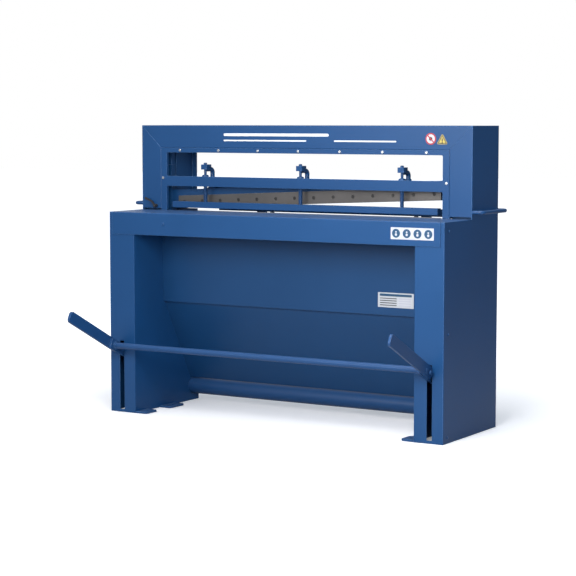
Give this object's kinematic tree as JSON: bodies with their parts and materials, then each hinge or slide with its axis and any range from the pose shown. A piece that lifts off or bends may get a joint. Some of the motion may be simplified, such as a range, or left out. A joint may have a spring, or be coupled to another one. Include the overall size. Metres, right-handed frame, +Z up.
{
  "type": "foot-operated guillotine shear",
  "caption": "Floor-standing foot-operated sheet metal shear: pedal linkage pulls a raked blade beam past a fixed table blade, with spring hold-down, finger guard and back gauge.",
  "frame": {"origin": "on the floor, in the middle of the machine's overall length and depth (foot arms and gauge rods included)", "axes": "+X along the cut to the operator's right, -Y towards the operator, +Z up"},
  "size_m": [1.742, 1.194, 1.2626],
  "materials": {
    "casing_paint": "semi-gloss blue powder coat with fine orange peel",
    "beam_steel": "machined steel, slightly browned",
    "blade_steel": "ground tool steel",
    "zinc": "zinc plated fasteners",
    "black_oxide": "black oxide",
    "dark_steel": "mill finish steel",
    "notice_white": "printed white film",
    "data_silver": "printed aluminium plate",
    "stripe_white": "white film",
    "red_film": "red film",
    "yellow_film": "yellow film",
    "spring_steel": "oiled spring steel",
    "bearing_iron": "cast iron",
    "black_plastic": "moulded black plastic"
  },
  "bodies": {
    "frame": {"left_side_panel": "casing_paint", "right_side_panel": "casing_paint", "left_leg_casing": "casing_paint", "right_leg_casing": "casing_paint", "left_column_casing": "casing_paint", "right_column_casing": "casing_paint", "top_casing": "casing_paint", "finger_guard": "casing_paint", "guard_screws": "zinc", "table_top": "casing_paint", "table_beam": "casing_paint", "lower_blade": "blade_steel", "lower_blade_screws": "black_oxide", "inner_panel": "casing_paint", "scrap_chute": "casing_paint", "anchor_lugs": "casing_paint", "rocker_bearings": "bearing_iron", "bearing_bolts": "zinc", "guide_posts": "casing_paint", "guide_gibs": "bearing_iron", "gib_bolts": "black_oxide", "side_handles": "casing_paint", "notice_plate": "notice_white", "data_plate": "data_silver", "accent_stripes": "stripe_white", "red_disc": "red_film", "yellow_triangle": "yellow_film", "casing_screws": "zinc", "lock_stud": "black_oxide", "return_springs": "spring_steel", "gauge_brackets": "casing_paint", "gauge_bracket_bolts": "black_oxide", "gauge_rods": "blade_steel"},
    "lock_lever": {"lock_lever": "black_oxide"},
    "pedal": {"rocker_tube": "casing_paint", "levers": "casing_paint", "left_foot_arm": "casing_paint", "right_foot_arm": "casing_paint", "crossbar": "casing_paint", "arm_bolts": "zinc", "rod_pins": "blade_steel"},
    "blade_beam": {"blade_beam": "beam_steel", "upper_blade": "blade_steel", "upper_blade_screws": "black_oxide", "beam_stiffener": "casing_paint", "stiffener_bolts": "zinc", "beam_slides": "beam_steel", "pull_rods": "beam_steel", "pull_rod_nuts": "zinc", "spring_blocks": "casing_paint", "gooseneck_arms": "casing_paint"},
    "hold_down": {"hold_down_bar": "casing_paint", "hold_down_rods": "blade_steel", "hold_down_nuts": "zinc", "hold_down_springs": "spring_steel"},
    "spring_caps": {"spring_caps": "dark_steel"},
    "back_gauge": {"gauge_bar": "casing_paint", "gauge_carriages": "dark_steel"},
    "left_knob": {"left_gauge_knob": "black_plastic"},
    "right_knob": {"right_gauge_knob": "black_plastic"}
  },
  "joints": [
    {"name": "pedal_swing", "type": "hinge", "parent": "frame", "child": "pedal", "pos_m": [0, 0.217, 0.069], "axis": [1, 0, 0], "range_deg": [0, 27], "stiffness_Nm_per_rad": 130, "springref_deg": -83.08},
    {"name": "blade_slide", "type": "slide", "parent": "frame", "child": "blade_beam", "axis": [0, 0, -1], "range_m": [0, 0.0751], "deforming": ["return_springs"]},
    {"name": "hold_down_slide", "type": "slide", "parent": "frame", "child": "hold_down", "axis": [0, 0, -1], "range_m": [0, 0.0121]},
    {"name": "spring_cap_slide", "type": "slide", "parent": "frame", "child": "spring_caps", "axis": [0, 0, -1], "range_m": [0, 0.0524], "deforming": ["hold_down_springs"]},
    {"name": "gauge_slide", "type": "slide", "parent": "frame", "child": "back_gauge", "axis": [0, 1, 0], "range_m": [-0.22, 0.14]},
    {"name": "left_knob_turn", "type": "hinge", "parent": "back_gauge", "child": "left_knob", "pos_m": [-0.38, 0.392, 0.846], "axis": [1, 0, 0], "range_deg": [-90, 90]},
    {"name": "right_knob_turn", "type": "hinge", "parent": "back_gauge", "child": "right_knob", "pos_m": [0.38, 0.392, 0.846], "axis": [1, 0, 0], "range_deg": [-90, 90]},
    {"name": "lock_lever_turn", "type": "hinge", "parent": "frame", "child": "lock_lever", "pos_m": [-0.742, 0.003, 0.904], "axis": [0, 1, 0], "range_deg": [-20, 60]}
  ],
  "couplings": [
    {"joint": "blade_slide", "follows": "pedal_swing", "m_per_rad": 0.15915},
    {"joint": "hold_down_slide", "follows": "pedal_swing", "m_per_rad": 0.025465},
    {"joint": "spring_cap_slide", "follows": "pedal_swing", "m_per_rad": 0.11098}
  ]
}
